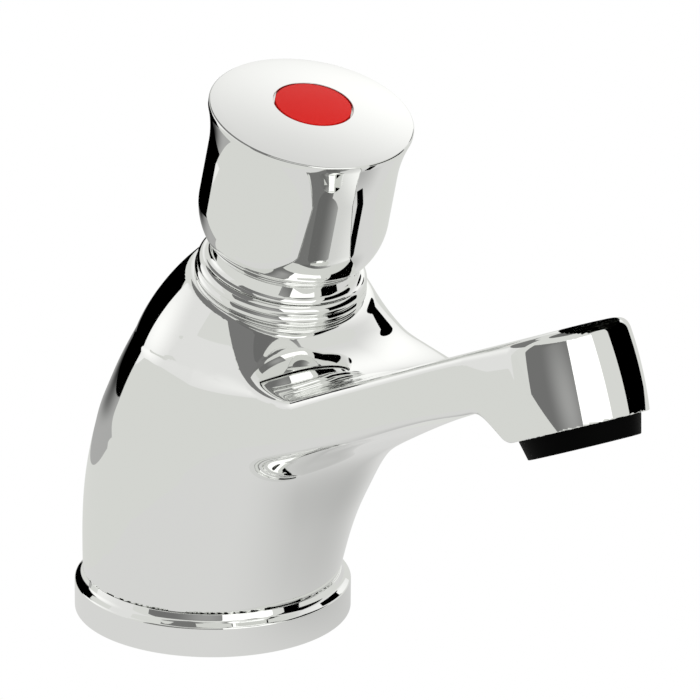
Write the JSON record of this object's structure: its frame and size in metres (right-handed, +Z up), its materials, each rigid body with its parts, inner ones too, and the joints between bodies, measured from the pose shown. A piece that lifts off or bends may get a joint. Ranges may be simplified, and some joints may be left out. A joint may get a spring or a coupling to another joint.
{
  "type": "push timed basin tap",
  "caption": "Deck mounted push timed basin tap with a leaning cast body, rising spout, round self closing push button and threaded inlet tail.",
  "frame": {"origin": "middle of the base ring's underside, where it sits on the basin's deck", "axes": "+Z up from the deck, the spout and its outlet along -Y, and +X to the tap's right seen from the front"},
  "size_m": [0.05, 0.1426, 0.1582],
  "materials": {
    "polished_chrome": "mirror polished chrome plate",
    "red_plastic": "glossy red",
    "black_plastic": "fine satin black",
    "white_plastic": "plain moulded acetal",
    "brass": "machined brass",
    "steel": "bright stainless steel",
    "black_rubber": "black rubber"
  },
  "bodies": {
    "tap": {"tap_body": "polished_chrome", "base_plate": "polished_chrome", "base_gasket": "black_rubber", "inlet_tail": "brass", "backnut": "brass", "backnut_washer": "steel", "inlet_strainer": "white_plastic", "flow_regulator": "white_plastic", "cartridge_housing": "white_plastic", "housing_lower_ring": "black_rubber", "housing_upper_ring": "black_rubber", "valve_seat": "brass", "spring_ledge": "white_plastic", "bonnet_gasket": "black_rubber", "bonnet_collar": "polished_chrome", "stem_seal": "black_rubber", "stem_bush": "white_plastic", "outlet_insert": "black_plastic", "outlet_seal": "black_rubber", "flow_straightener": "white_plastic", "outlet_screen": "steel", "main_spring": "steel", "return_spring": "steel"},
    "stem": {"push_stem": "steel", "spring_cup": "steel", "stem_clip": "steel", "button_screw": "steel"},
    "button": {"push_button": "polished_chrome", "indice_disc": "red_plastic"},
    "piston": {"piston": "white_plastic", "piston_cup_seal": "black_rubber", "valve_spindle": "steel", "seat_washer": "black_rubber", "washer_plate": "brass", "washer_nut": "brass", "timing_pin": "steel"}
  },
  "joints": [
    {"name": "button_press", "type": "slide", "parent": "tap", "child": "stem", "axis": [0, 0.2726, -0.9621], "range_m": [0, 0.003], "stiffness_N_per_m": 1500, "springref_m": -0.006, "deforming": ["return_spring"]},
    {"name": "button_spin", "type": "hinge", "parent": "stem", "child": "button", "pos_m": [0, -0.02891, 0.09621], "axis": [0, -0.2726, 0.9621], "continuous": true},
    {"name": "piston_stroke", "type": "slide", "parent": "tap", "child": "piston", "axis": [0, 0.2726, -0.9621], "range_m": [0, 0.003], "deforming": ["main_spring"]}
  ],
  "couplings": [
    {"joint": "piston_stroke", "follows": "button_press", "ratio": 1}
  ]
}
